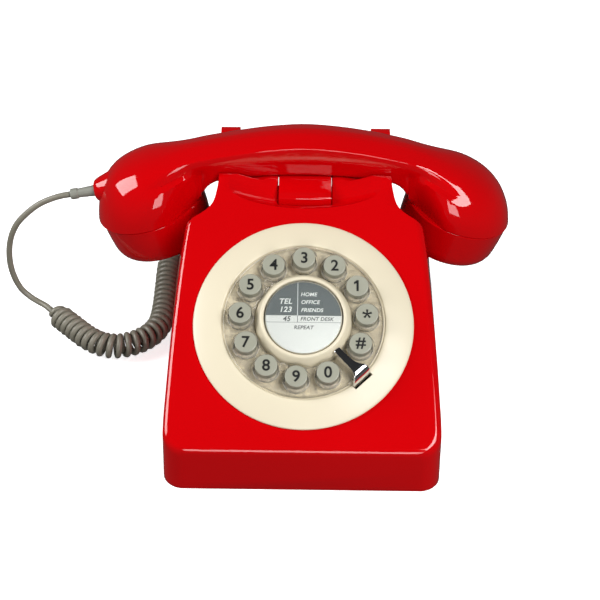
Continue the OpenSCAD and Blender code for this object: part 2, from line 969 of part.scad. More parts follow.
case_shell();
base_plate();
rubber_feet();
base_screws();
ballast_plate();
dial_bezel();
clear_dial_disc();
hub_ring();
redial_plate();
number_card();
card_lens();
finger_stop();
key("key_1");  // key_1
key("key_2");  // key_2
key("key_3");  // key_3
key("key_4");  // key_4
key("key_5");  // key_5
key("key_6");  // key_6
key("key_7");  // key_7
key("key_8");  // key_8
key("key_9");  // key_9
key("key_0");  // key_0
key("key_star");  // key_star
key("key_hash");  // key_hash
key_membrane();
key_board();
key_board_screws();
main_board();
board_parts();
line_socket();
handset_socket();
hook_plunger();
hook_bracket();
hook_lever();
hook_pin();
hook_spring();
hook_switch();
ringer_frame();
ringer_coil();
gong_left();
gong_right();
gong_screws();
clapper();
clapper_pin();
ringer_switch();
ringer_slider();
handset_shell();
mouth_cap();
ear_cap();
microphone_capsule();
receiver_capsule();
handset_weight();
cord_boot();
cord_lead();
cord_coil();
cord_tail();
cord_plug();
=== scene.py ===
"""Red push-button desk telephone in the style of a rotary set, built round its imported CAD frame."""
import math

import bpy
import bmesh
from mathutils import Matrix, Vector


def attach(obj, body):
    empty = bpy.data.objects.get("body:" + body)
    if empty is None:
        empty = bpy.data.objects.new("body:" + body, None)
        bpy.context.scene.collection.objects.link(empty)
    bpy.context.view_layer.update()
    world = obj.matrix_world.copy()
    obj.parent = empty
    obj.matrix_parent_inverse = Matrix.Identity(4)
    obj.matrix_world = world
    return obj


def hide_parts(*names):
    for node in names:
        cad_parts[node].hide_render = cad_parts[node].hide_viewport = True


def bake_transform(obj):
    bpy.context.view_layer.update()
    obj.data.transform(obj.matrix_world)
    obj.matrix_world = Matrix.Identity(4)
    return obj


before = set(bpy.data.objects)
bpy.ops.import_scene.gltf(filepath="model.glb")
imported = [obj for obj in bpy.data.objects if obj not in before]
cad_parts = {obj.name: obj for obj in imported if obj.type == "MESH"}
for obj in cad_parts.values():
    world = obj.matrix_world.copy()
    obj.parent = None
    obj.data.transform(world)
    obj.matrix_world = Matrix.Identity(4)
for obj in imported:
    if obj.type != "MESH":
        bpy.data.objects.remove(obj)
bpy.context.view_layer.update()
MM = 0.001


def placed(name, data):
    """Puts a new object with the given data into the scene."""
    made = bpy.data.objects.new(name, data)
    bpy.context.scene.collection.objects.link(made)
    return made


# ---- Camera, table and lights ----
# The set stands on a pale table in soft studio light, seen from in front and well above.
# Two square softboxes give the glossy mouldings their window-like highlights.
view_down = math.radians(38)
view_roll = math.radians(0.75)
eye = Vector((-2.03, -812.72, 690.9)) * MM
ahead = Vector((0, math.cos(view_down), -math.sin(view_down)))
across = Vector((1, 0, 0))
upward = across.cross(ahead)
right = across * math.cos(view_roll) + upward * math.sin(view_roll)
top = upward * math.cos(view_roll) - across * math.sin(view_roll)
camera = placed("camera", bpy.data.cameras.new("camera"))
camera.data.lens = 110.4
camera.data.sensor_width = 36
camera.matrix_world = Matrix((
    (right.x, top.x, -ahead.x, eye.x),
    (right.y, top.y, -ahead.y, eye.y),
    (right.z, top.z, -ahead.z, eye.z),
    (0, 0, 0, 1)))
bpy.context.scene.camera = camera
bpy.context.scene.view_settings.view_transform = "Standard"


class Value:
    """A shader socket that can be used in sums."""

    def __init__(self, finish, socket):
        self.finish = finish
        self.socket = socket

    def sum(self, operation, *terms):
        return self.finish.node("ShaderNodeMath", {"operation": operation}, dict(enumerate(terms)))

    def __add__(self, other):
        return self.sum("ADD", self, other)

    def __radd__(self, other):
        return self.sum("ADD", other, self)

    def __mul__(self, other):
        return self.sum("MULTIPLY", self, other)

    def __rmul__(self, other):
        return self.sum("MULTIPLY", other, self)

    def __gt__(self, other):
        return self.sum("GREATER_THAN", self, other)

    def __lt__(self, other):
        return self.sum("LESS_THAN", self, other)


class Finish:
    """A material under construction."""

    def __init__(self, name):
        self.material = bpy.data.materials.new(name)
        self.material.use_nodes = True
        self.tree = self.material.node_tree
        self.tree.nodes.clear()
        self.place = self.node("ShaderNodeTexCoord", out="Object")

    def node(self, kind, settings=None, inputs=None, out=0):
        """Adds a shader node and returns one of its outputs."""
        made = self.tree.nodes.new(kind)
        for name, value in (settings or {}).items():
            setattr(made, name, value)
        for name, value in (inputs or {}).items():
            if isinstance(value, Value):
                self.tree.links.new(value.socket, made.inputs[name])
            else:
                made.inputs[name].default_value = value
        return Value(self, made.outputs[out])

    def blend(self, amount, first, second):
        """Colour that goes from first to second as amount goes from 0 to 1."""
        ends = {}
        for slot, colour in ((6, first), (7, second)):
            ends[slot] = colour if isinstance(colour, Value) else (*colour, 1)
        return self.node("ShaderNodeMix", {"data_type": "RGBA"}, {0: amount, **ends}, out=2)

    def cloud(self, scale, detail=4.0):
        """Soft noise that keeps its place on the piece."""
        return self.node("ShaderNodeTexNoise", None,
                         {"Vector": self.place, "Scale": scale, "Detail": detail})

    def bumps(self, height, strength, depth):
        """Shading as if the surface rose and fell with a height."""
        return self.node("ShaderNodeBump", None,
                         {"Height": height, "Strength": strength, "Distance": depth})

    def skin(self, **inputs):
        """Ends the material with a Principled surface."""
        values = {name.replace("_", " "): value for name, value in inputs.items()}
        for name in ("Base Color", "Emission Color"):
            if name in values and not isinstance(values[name], Value):
                values[name] = (*values[name], 1)
        self.end(self.node("ShaderNodeBsdfPrincipled", None, values))

    def end(self, surface):
        """Joins a surface to the material's output."""
        output = self.tree.nodes.new("ShaderNodeOutputMaterial")
        self.tree.links.new(surface.socket, output.inputs["Surface"])


def wear(piece, material):
    """Gives a piece one finish all over."""
    piece.data.materials.clear()
    piece.data.materials.append(material)


bpy.ops.object.select_all(action="DESELECT")
bpy.ops.mesh.primitive_grid_add(x_subdivisions=40, y_subdivisions=40, size=6)
table = bpy.context.object
table.name = "table"
cloth = Finish("pale_table")
sweep = cloth.cloud(3)
cloth.skin(Base_Color=cloth.blend(sweep, (0.90, 0.90, 0.90), (0.94, 0.94, 0.94)), Roughness=0.6,
           Specular_IOR_Level=0.2, Emission_Color=(1, 1, 1), Emission_Strength=0.75)
wear(table, cloth.material)
table.visible_glossy = False
table.visible_diffuse = False

world = bpy.data.worlds.new("studio")
bpy.context.scene.world = world
world.use_nodes = True
sky_nodes = world.node_tree.nodes
sky_way = sky_nodes.new("ShaderNodeTexCoord")
sky_height = sky_nodes.new("ShaderNodeSeparateXYZ")
sky = sky_nodes.new("ShaderNodeValToRGB")
sky.color_ramp.elements.new(0.5)
for element, (place, grey) in zip(sky.color_ramp.elements, ((0.0, 0.08), (0.5, 0.08), (1.0, 0.03))):
    element.position = place
    element.color = (grey, grey, grey, 1)
sky_share = sky_nodes.new("ShaderNodeMapRange")
sky_share.inputs["From Min"].default_value = -1
for start, stop in ((sky_way.outputs["Generated"], sky_height.inputs[0]),
                    (sky_height.outputs["Z"], sky_share.inputs["Value"]),
                    (sky_share.outputs["Result"], sky.inputs["Fac"]),
                    (sky.outputs["Color"], sky_nodes["Background"].inputs["Color"])):
    world.node_tree.links.new(start, stop)
sky_nodes["Background"].inputs["Strength"].default_value = 1.0


def softbox(name, place, aim, size, power):
    """A square area light that faces a point."""
    lamp = placed(name, bpy.data.lights.new(name, "AREA"))
    lamp.data.shape = "SQUARE"
    lamp.data.size = size
    lamp.data.energy = power
    lamp.location = place
    lamp.rotation_euler = (Vector(aim) - Vector(place)).to_track_quat("-Z", "Y").to_euler()


softbox("softbox_left", (-1.08, 0.02, 0.74), (0, 0, 0.06), 0.66, 13)
softbox("softbox_right", (0.62, -0.60, 1.03), (0, 0, 0.06), 0.62, 14.5)
softbox("softbox_front", (0.12, -1.65, 0.55), (0, 0, 0.05), 0.75, 11)

# ---- Cord ----
# A limp grey cable, 3.6 mm thick, from the boot on the handset down to the table, then wound
# in a tight curl that lies on the table round the left side, and on to its plug at the back.
cable = 3.6
curl_radius = 5.7
curl_fade = 14
curl_pitch = 4.6
boot_tilt = math.radians(-102)
boot_way = Vector((math.sin(boot_tilt), 0, math.cos(boot_tilt)))
boot_end = Vector((-135, 61, 83.6))
lead_points = [boot_end, boot_end + 6 * boot_way] + [Vector(p) for p in (
    (-148, 61, 79.6), (-155, 61, 75.6), (-162, 60.5, 69.6), (-168, 60, 62.5), (-172, 60, 53.5),
    (-174, 60, 43.5), (-174.2, 60, 33), (-172.6, 60, 23.5), (-169.4, 59.6, 15.6),
    (-164.6, 58.6, 10.6), (-159.6, 56.6, 8.2), (-155.1, 53.8, 7.6), (-151.5, 50, 7.6))]
curl_points = [Vector(p) for p in (
    (-151.5, 50, 7.6), (-144.3, 42.4, 7.6), (-134.2, 31.6, 7.6), (-126, 23.2, 7.6),
    (-117.6, 17.6, 7.6), (-109.4, 16, 7.6), (-101.6, 17.8, 7.6), (-94, 22.4, 7.6),
    (-87.6, 30, 7.6), (-84.2, 40, 7.6), (-83.2, 52, 7.6), (-83, 64, 7.6), (-83, 76, 7.6),
    (-83, 88, 7.6), (-82.4, 99, 7.6), (-79, 108, 7.6))]
tail_points = [Vector(p) for p in (
    (-79, 108, 7.6), (-77.3, 112.5, 7.6), (-74, 116.4, 8), (-68.6, 118.6, 8.8), (-62, 118, 10),
    (-56, 115, 11.2), (-51.6, 109.6, 12), (-50, 103.4, 12), (-50, 97.4, 12))]


def flow(points, step):
    """Even points, step apart, on a smooth curve through the given ones."""
    dense = []
    for i in range(len(points) - 1):
        before = points[max(i - 1, 0)]
        start, stop = points[i], points[i + 1]
        after = points[min(i + 2, len(points) - 1)]
        for k in range(40):
            t = k / 40
            dense.append(0.5 * (2 * start + (stop - before) * t
                                + (2 * before - 5 * start + 4 * stop - after) * t * t
                                + (3 * start - before - 3 * stop + after) * t ** 3))
    dense.append(points[-1])
    lengths = [0.0]
    for a, b in zip(dense, dense[1:]):
        lengths.append(lengths[-1] + (b - a).length)
    count = max(2, round(lengths[-1] / step))
    even = []
    j = 0
    for i in range(count + 1):
        goal = lengths[-1] * i / count
        while j < len(dense) - 2 and lengths[j + 1] < goal:
            j += 1
        share = (goal - lengths[j]) / max(lengths[j + 1] - lengths[j], 1e-9)
        even.append(dense[j].lerp(dense[j + 1], min(max(share, 0), 1)))
    return even, lengths[-1]


curl_line, curl_length = flow(curl_points, 0.32)
twist_step = 2 * math.pi * curl_length / (len(curl_line) - 1) / curl_pitch
angle = -math.pi / 2
curl_route = []
for i, centre in enumerate(curl_line):
    t = i / (len(curl_line) - 1)
    along = (curl_line[min(i + 1, len(curl_line) - 1)] - curl_line[max(i - 1, 0)]).normalized()
    side = along.cross(Vector((0, 0, 1))).normalized()
    rise = side.cross(along)
    ease = min(1, curl_fade * t, curl_fade * (1 - t))
    reach = curl_radius * ease * ease * (3 - 2 * ease)
    angle += twist_step * ease
    curl_route.append(centre + reach * (math.cos(angle) * side + math.sin(angle) * rise))
cord_route = flow(lead_points, 2.2)[0] + curl_route[1:] + flow(tail_points, 2.2)[0][1:]
cord_length = sum((b - a).length for a, b in zip(cord_route, cord_route[1:]))


def settled(name, shape):
    """Turns a shape built face by face into a piece."""
    mesh = bpy.data.meshes.new(name)
    shape.to_mesh(mesh)
    shape.free()
    return placed(name, mesh)


def tube(name, route, radius, sides):
    """A round tube along a route, its rings carried along without twist."""
    shape = bmesh.new()
    rings = []
    side = None
    for i, point in enumerate(route):
        along = (route[min(i + 1, len(route) - 1)] - route[max(i - 1, 0)]).normalized()
        if side is None:
            side = along.orthogonal().normalized()
        side = (side - along * side.dot(along)).normalized()
        other = along.cross(side)
        ring = []
        for k in range(sides):
            a = 2 * math.pi * k / sides
            outward = math.cos(a) * side + math.sin(a) * other
            ring.append(shape.verts.new((point + radius * outward) * MM))
        rings.append(ring)
    for low, high in zip(rings, rings[1:]):
        for k in range(sides):
            n = (k + 1) % sides
            shape.faces.new((low[k], low[n], high[n], high[k])).smooth = True
    shape.faces.new(rings[0][::-1])
    shape.faces.new(rings[-1])
    return settled(name, shape)


cord = tube("cord", cord_route, cable / 2, 12)
jacket = Finish("grey_cord_jacket")
dust = jacket.cloud(180)
jacket.skin(Base_Color=jacket.blend(dust, (0.17, 0.16, 0.125), (0.235, 0.222, 0.175)),
            Roughness=0.34 + 0.12 * dust, Normal=jacket.bumps(jacket.cloud(2500, 2), 0.15, 0.0001))
wear(cord, jacket.material)
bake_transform(cord)
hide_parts("cord_lead", "cord_coil", "cord_tail")
print("cord length", round(cord_length, 1), "mm,", round(angle / (2 * math.pi)), "turns")
[tuple(p * MM) for p in cord_route]


def coat(nodes, material):
    """Gives CAD pieces that keep their own shape a finish."""
    for name in nodes:
        wear(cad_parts[name], material)


rubber = Finish("grey_boot_rubber")
grime = rubber.cloud(240)
rubber.skin(Base_Color=rubber.blend(grime, (0.20, 0.205, 0.175), (0.27, 0.275, 0.235)),
            Roughness=0.42 + 0.1 * grime, Normal=rubber.bumps(grime, 0.1, 0.0001))
coat(["cord_boot"], rubber.material)

# ---- Case ----
# One glossy red injection moulding: skirt, sloping face and neck. The well beside the neck on
# each side, the dish that falls away behind the lip, the saddle for the handle and the holes are
# cut out of it, and every cut edge is slightly rounded, as the mould leaves it.
front, back = -95.0, 95.0
half_width = 74.8
corner = 11.5
case_bottom = 0.4
skirt_top = 28
slope_angle = math.radians(30.5)
slope = math.tan(slope_angle)
side_line = ((case_bottom, half_width), (35, 74.4), (50, 73), (60, 71.8), (72, 70), (79, 68.8),
             (86, 67.4), (91, 66.2), (95, 65), (100, 64), (118, 62))
edge_round = 4.0


def between(x, points):
    """Straight-line reading of a table of (place, value)."""
    if x <= points[0][0]:
        return points[0][1]
    for (x0, y0), (x1, y1) in zip(points, points[1:]):
        if x <= x1:
            return y0 + (y1 - y0) * (x - x0) / (x1 - x0)
    return points[-1][1]


def curved(x, points):
    """Smooth reading of a table of (place, value)."""
    i = 0
    while i < len(points) - 2 and x > points[i + 1][0]:
        i += 1
    (x0, y0), (x1, y1) = points[i], points[i + 1]
    before = points[i - 1] if i else points[i]
    after = points[i + 2] if i + 2 < len(points) else points[i + 1]
    m0 = (y1 - before[1]) / (x1 - before[0])
    m1 = (after[1] - y0) / (after[0] - x0)
    t = min(max((x - x0) / (x1 - x0), 0), 1)
    d = x1 - x0
    return (y0 * (2 * t ** 3 - 3 * t * t + 1) + m0 * d * (t ** 3 - 2 * t * t + t)
            + y1 * (3 * t * t - 2 * t ** 3) + m1 * d * (t ** 3 - t * t))


def skin_of(name, rows, columns, place):
    """A closed moulding: a grid whose corners are moved to place(row, column) and welded."""
    bpy.ops.object.select_all(action="DESELECT")
    bpy.ops.mesh.primitive_grid_add(x_subdivisions=columns, y_subdivisions=rows, size=1)
    piece = bpy.context.object
    piece.name = name
    for vertex in piece.data.vertices:
        row = round((vertex.co.y + 0.5) * rows)
        column = round((vertex.co.x + 0.5) * columns)
        vertex.co = Vector(place(row, column)) * MM
    bpy.ops.object.mode_set(mode="EDIT")
    bpy.ops.mesh.select_all(action="SELECT")
    bpy.ops.mesh.remove_doubles(threshold=0.00002)
    bpy.ops.mesh.fill_holes(sides=0)
    bpy.ops.mesh.normals_make_consistent(inside=False)
    bpy.ops.object.mode_set(mode="OBJECT")
    return piece


# the crest is the case's outline from the side: the rounded front edge, the face, the neck, the back
brow_depth = 2.03
brow_middle = 25.71


def front_height(depth):
    """Top of the case at a depth behind its front: a rounded edge, then the sloping face."""
    if depth > brow_depth:
        return skirt_top + depth * slope
    return brow_middle + math.sqrt(max(edge_round ** 2 - (depth - edge_round) ** 2, 0))


nose = [13 * (1 - math.cos(math.radians(a)))
        for a in (0, 5, 10, 15, 20, 25, 30, 38, 46, 54, 62, 70, 80, 90)]
crest = [(front + depth, front_height(depth)) for depth in nose]
crest += [(y, skirt_top + (y - front) * slope) for y in range(-78, 47, 4)]
crest += [(47.2, 111.8), (54, 113.3), (61, 114.8), (68, 116.4), (75.4, 117.7), (77, 118), (80.5, 118),
          (82, 117.6), (83.2, 116.4), (84.4, 113), (86.2, 106), (88, 98), (89.6, 84), (90.8, 70),
          (91.8, 58), (92.6, 49), (93.1, 45), (93.8, 43), (94.4, 42), (94.9, 40.8), (95, 39.5)]

# columns of the case's section, counted from the middle of the bottom to the middle of the top
bottom_columns, side_columns, edge_columns, top_columns = 2, 10, 7, 7
side_end = bottom_columns + side_columns
edge_end = side_end + edge_columns
half_columns = edge_end + top_columns


def case_corner(row, column):
    """A point of the case's outside: row along the crest, column round the section."""
    y, z_top = crest[row]
    inset = max(front + corner - y, y - back + corner, 0)
    share = (half_width - corner + math.sqrt(max(corner ** 2 - inset ** 2, 0))) / half_width
    mirror = 1 if column <= half_columns else -1
    k = column if column <= half_columns else 2 * half_columns - column
    z_edge = z_top - edge_round
    x_top = between(z_top, side_line) * share - edge_round
    if k <= bottom_columns:
        x, z = half_width * share * k / bottom_columns, case_bottom
    elif k <= side_end:
        z = case_bottom + (z_edge - case_bottom) * (k - bottom_columns) / side_columns
        x = between(z, side_line) * share
    elif k <= edge_end:
        turn = math.radians(90) * (k - side_end) / edge_columns
        x_side = between(z_edge, side_line) * share
        x = x_top + (x_side - x_top) * math.cos(turn)
        z = z_edge + edge_round * math.sin(turn)
    else:
        x, z = x_top * (half_columns - k) / top_columns, z_top
    return mirror * x, y, z


case = skin_of("case_moulding", len(crest) - 1, 2 * half_columns, case_corner)


def rod(name, outline, low, high, axis):
    """A cutter: an outline drawn across an axis and pulled along it."""
    shape = bmesh.new()
    ends = []
    for reach in (low, high):
        ring = []
        for a, b in outline:
            point = {"X": (reach, a, b), "Y": (a, reach, b), "Z": (a, b, reach)}[axis]
            ring.append(shape.verts.new(Vector(point) * MM))
        ends.append(ring)
    count = len(outline)
    for k in range(count):
        n = (k + 1) % count
        shape.faces.new((ends[0][k], ends[0][n], ends[1][n], ends[1][k]))
    shape.faces.new(ends[0])
    shape.faces.new(ends[1])
    bmesh.ops.recalc_face_normals(shape, faces=shape.faces[:])
    return settled(name, shape)


def block(name, low, high):
    """A box between two corners."""
    return rod(name, [(low[0], low[1]), (high[0], low[1]), (high[0], high[1]), (low[0], high[1])],
               low[2], high[2], "Z")


def carve(piece, tool, operation="DIFFERENCE"):
    """Cuts a tool out of a piece, or joins it on, and throws the tool away."""
    bpy.ops.object.select_all(action="DESELECT")
    bpy.context.view_layer.objects.active = piece
    cut = piece.modifiers.new("cut", "BOOLEAN")
    cut.operation = operation
    cut.solver = "EXACT"
    cut.object = tool
    bpy.ops.object.modifier_apply(modifier=cut.name)
    bpy.data.objects.remove(tool)


def smooth(t):
    """Goes from 0 to 1 with a soft start and stop."""
    t = min(max(t, 0), 1)
    return t * t * (3 - 2 * t)


# the wells that the cups hang in: a scooped shoulder in front, the wall of the neck beside, and the
# foot rounded into the deck
shoulder = [(48.4, 44), (48.6, 41), (49, 38), (49.6, 35), (50.3, 32), (51.3, 29.4), (52.8, 27.2),
            (55, 25.2), (58, 23.2), (61.5, 21.2), (64.8, 19.2), (68, 17), (80, 9), (95, 4)]
neck_wall, well_outside, well_back = 48.4, 95, 120
well_levels = [(0, 140), (0.3, 110), (0.6, 97), (1.4, 80), (2.4, 64), (3.6, 57), (5.6, 52), (8.6, 48.4),
               (12.9, 45.9), (18.4, 44.6), (25.4, 44.2)]


def well_point(row, column):
    """A point of a well: row down it, column along the shoulder and back round the outside."""
    shift, z = well_levels[row]
    count = len(shoulder)
    step = column % (count + 2)
    if step < count:
        x, y = shoulder[step]
        return well_side * x, y + shift, z
    return well_side * (well_outside if step == count else neck_wall), well_back, z


for well_side in (-1, 1):
    carve(case, skin_of("well", len(well_levels) - 1, len(shoulder) + 2, well_point))

# the dish behind the lip: it falls to the hook bar and rises again under the handle and to the ears
dish_depth = ((18, 102.9), (22, 101.6), (26.2, 100.1), (28, 98.9), (31, 97.2), (34, 96.6), (38, 97.4),
              (42, 99.4), (46, 102), (50, 104), (60, 104.6), (75.5, 104.6))


dish_front, dish_length = 22, 53.4
dish_half, dish_step, dish_rows = 60, 3, 60
dish_columns = 2 * dish_half // dish_step
dish_spread = 208
dish_apex = 150


def dish_point(row, column):
    """A point of the dish: its floor row by row, closed to one line far above it."""
    y = dish_front + dish_length * row / dish_rows
    step = column % (dish_columns + 2)
    if step > dish_columns:
        return 0, y, dish_apex
    x = dish_step * step - dish_half
    return x, y, curved(y, dish_depth) + x * x / dish_spread


carve(case, skin_of("dish", dish_rows, dish_columns + 2, dish_point))

# the saddle that takes the handle, shaped to its underside, and the low rim at the back
under_handle = ((0, 106.5), (20, 105.8), (34, 104.3), (43, 103), (50, 101.3), (55, 98), (58, 93.5))
saddle = [(x, between(abs(x), under_handle) - 0.3) for x in range(-60, 61, 3)]
carve(case, rod("saddle", saddle + [(60, 140), (-60, 140)], 46.5, 75.6, "Y"))
carve(case, block("rim", (-37.4, 74, 104), (37.4, 97, 135)))
ear_top = [(36, 112), (40.2, 108.3), (42, 109), (44, 109.3), (46.6, 109.2), (46.6, 125), (36, 125)]
carve(case, rod("ear_top", ear_top, -60, 60, "X"))

# the recess behind the cradle, the bottom, the dial hole, the hook bar's slot and the jacks
recess = [(110, 60), (74, 63), (71, 64.6), (68, 70), (66.6, 74), (66, 78), (66.6, 82), (68, 86),
          (71, 89), (74, 90), (110, 92)]
carve(case, rod("recess", recess, -30, 30, "X"))
plate_corner = 10
foot_print = [(side_x * 61.5 + plate_corner * math.cos(math.radians(turn + a)),
               side_y * 82 + plate_corner * math.sin(math.radians(turn + a)))
              for side_x, side_y, turn in ((1, 1, 0), (-1, 1, 90), (-1, -1, 180), (1, -1, 270))
              for a in range(0, 91, 15)]
carve(case, rod("underside", foot_print, -5, 4.4, "Z"))
carve(case, block("hook_slot", (-15.4, 33.4, 86), (15.4, 72.6, 140)))
jack_width = 14
for left in (-57, 43):
    carve(case, block("jack_mouth", (left, 74, 4.2), (left + jack_width, 100, 4.2 + jack_width)))
carve(case, block("slider_slot", (-8, 84, 9), (8, 100, 13)))
dial_y = -32.9
dial_middle = Vector((0, dial_y, skirt_top + (dial_y - front) * slope))
dial_turn = Matrix.Rotation(slope_angle, 4, "X")
hole_radius = 48.3
hole = rod("dial_hole", [(hole_radius * math.cos(math.radians(a)), hole_radius * math.sin(math.radians(a)))
                         for a in range(0, 360, 4)], -14, 20, "Z")
for vertex in hole.data.vertices:
    vertex.co = dial_turn @ vertex.co + dial_middle * MM
carve(case, hole)


def soften(piece, width, steps=2, angle=38, keep=30):
    """Rounds a piece's sharp edges and shades it smooth up to an angle."""
    bpy.ops.object.select_all(action="DESELECT")
    piece.select_set(True)
    bpy.context.view_layer.objects.active = piece
    if width:
        edge = piece.modifiers.new("edge", "BEVEL")
        edge.width = width * MM
        edge.segments = steps
        edge.limit_method = "ANGLE"
        edge.angle_limit = math.radians(angle)
        edge.harden_normals = False
        bpy.ops.object.modifier_apply(modifier=edge.name)
    bpy.ops.object.shade_smooth_by_angle(angle=math.radians(keep))


bpy.context.view_layer.objects.active = case
bpy.ops.object.mode_set(mode="EDIT")
bpy.ops.mesh.select_all(action="SELECT")
bpy.ops.mesh.remove_doubles(threshold=0.00005)
bpy.ops.mesh.dissolve_degenerate(threshold=0.00005)
bpy.ops.object.mode_set(mode="OBJECT")
soften(case, 0.55)


def moulding(name, deep, bright, roughness):
    """Glossy coloured plastic with a faint flow in its colour and the finest of scratches."""
    plastic = Finish(name)
    flow_marks = plastic.cloud(14, 3)
    hairlines = plastic.cloud(700, 2)
    plastic.skin(Base_Color=plastic.blend(flow_marks, deep, bright),
                 Roughness=roughness + 0.03 * plastic.cloud(60) + 0.02 * hairlines,
                 Specular_IOR_Level=0.5,
                 Normal=plastic.bumps(plastic.cloud(90, 2), 0.02, 0.0004))
    return plastic.material


red = moulding("glossy_red_moulding", (0.50, 0.0, 0.0012), (0.56, 0.0003, 0.002), 0.035)
wear(case, red)
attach(case, "base")
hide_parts("case_shell")

# ---- Underside ----
# Black base plate on four rubber feet, held by four plated screws, with the ballast on top of it.
black = moulding("black_moulding", (0.018, 0.018, 0.02), (0.03, 0.03, 0.032), 0.4)
coat(["base_plate", "line_socket", "handset_socket", "ringer_switch", "hook_switch", "board_parts"], black)
foot = Finish("foot_rubber")
wiped = foot.cloud(300)
foot.skin(Base_Color=foot.blend(wiped, (0.02, 0.02, 0.02), (0.045, 0.045, 0.043)),
          Roughness=0.7 + 0.15 * wiped, Normal=foot.bumps(wiped, 0.2, 0.0002))
coat(["rubber_feet", "key_membrane"], foot.material)
plated = Finish("zinc_plate")
streak = plated.cloud(500, 6)
plated.skin(Base_Color=plated.blend(streak, (0.50, 0.51, 0.53), (0.66, 0.67, 0.69)), Metallic=1.0,
            Roughness=0.28 + 0.16 * streak)
coat(["base_screws", "ballast_plate", "key_board_screws", "hook_bracket", "hook_pin", "hook_spring",
      "ringer_frame", "gong_screws", "clapper", "clapper_pin", "receiver_capsule", "handset_weight"],
     plated.material)

# ---- Dial bezel ----
# Cream moulding: a gently domed cone that rises to a rim, with a flat floor inside the rim, pierced
# for the twelve keys and the middle button.
def lathe(name, profile, steps=128):
    """A turned piece: a closed outline of (radius, height) spun about its own upright axis."""
    shape = bmesh.new()
    verts = [shape.verts.new((r * MM, 0, h * MM)) for r, h in profile]
    edges = [shape.edges.new((a, b)) for a, b in zip(verts, verts[1:])]
    bmesh.ops.spin(shape, geom=verts + edges, cent=(0, 0, 0), axis=(0, 0, 1), dvec=(0, 0, 0),
                   angle=2 * math.pi, steps=steps, use_duplicate=False)
    bmesh.ops.remove_doubles(shape, verts=shape.verts[:], dist=0.000002)
    bmesh.ops.recalc_face_normals(shape, faces=shape.faces[:])
    return settled(name, shape)


def round_off(profile, times=2):
    """Cuts the corners of an outline of (radius, height), but keeps its two ends."""
    for _ in range(times):
        cut = [profile[0]]
        for (r0, h0), (r1, h1) in zip(profile, profile[1:]):
            cut.append((r0 * 0.75 + r1 * 0.25, h0 * 0.75 + h1 * 0.25))
            cut.append((r0 * 0.25 + r1 * 0.75, h0 * 0.25 + h1 * 0.75))
        cut.append(profile[-1])
        profile = cut
    return profile


def move(piece, matrix):
    """Puts a piece's place into its mesh."""
    piece.data.transform(matrix)
    piece.data.update()


on_dial = Matrix.Translation(dial_middle * MM) @ dial_turn


def ring_place(angle, radius=0.0):
    """Place on the dial: radius out from the middle, at an angle from the right."""
    return on_dial @ Matrix.Rotation(math.radians(angle), 4, "Z") @ Matrix.Translation((radius * MM, 0, 0))


key_angles = {"3": 90, "4": 119, "5": 148, "6": 177, "7": 206, "8": 235, "9": 264, "0": 293,
              "hash": -26, "star": 3, "1": 32, "2": 61}
key_ring = 34.2
key_hole = 6.9
stop_angle = -46
outside = round_off([(42.9, 0), (59.4, 0), (60, 0.2), (60, 1.0), (59.0, 1.6), (55, 3.0), (50, 4.35),
                     (46.6, 5.1), (45.3, 5.2), (44.6, 5.0), (44.3, 4.2), (43.9, 4.0), (43.2, 4.0)])
bezel = lathe("bezel", outside + [(14.4, 4.0), (14, 3.6), (14, 1.6), (42.9, 1.6), (42.9, 0)], 160)
move(bezel, on_dial)


def disc_tool(radius, low, high, steps=48):
    """A round cutter about the upright axis."""
    ring = [(radius * math.cos(2 * math.pi * k / steps), radius * math.sin(2 * math.pi * k / steps))
            for k in range(steps)]
    return rod("disc_tool", ring, low, high, "Z")


for angle in key_angles.values():
    tool = disc_tool(key_hole, -10, 20)
    move(tool, ring_place(angle, key_ring))
    carve(bezel, tool)
tool = block("stop_slot", (44.45, -6.2, -10), (47.35, 6.2, 20))
move(tool, ring_place(stop_angle))
carve(bezel, tool)
soften(bezel, 0.25, angle=50, keep=40)
# a black lining behind the slot, put there as painted shade for the dark inside the slot, so that no red
# shows through it
shade_lining = lathe("slot_shade_lining", [(47.5, -0.3), (48.1, -0.3), (48.1, -6), (43.4, -6), (43.4, -5.4),
                                 (47.5, -5.4), (47.5, -0.3)], 96)
move(shade_lining, on_dial)
soften(shade_lining, 0)
wear(shade_lining, black)
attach(shade_lining, "base")
cream = moulding("cream_moulding", (0.68, 0.61, 0.455), (0.74, 0.67, 0.505), 0.34)
wear(bezel, cream)
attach(bezel, "base")
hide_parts("dial_bezel")

# ---- Middle of the dial ----
# A flared cream ring stands round the redial button. The button carries a printed card, slate
# above and white below, under a slightly domed clear lens.
hub_flare = round_off([(26.2, 4), (26.2, 6.4), (25.8, 8.2), (24.9, 10), (23.9, 11.6), (23.1, 12.35),
                       (22.2, 12.4), (21.6, 12.1), (21.5, 11.4)], 3)
hub = lathe("hub_collar", [(21.5, 4)] + hub_flare + [(21.5, 4)])
move(hub, on_dial)
soften(hub, 0)
wear(hub, cream)
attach(hub, "base")
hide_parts("hub_ring")
coat(["redial_plate"], cream)

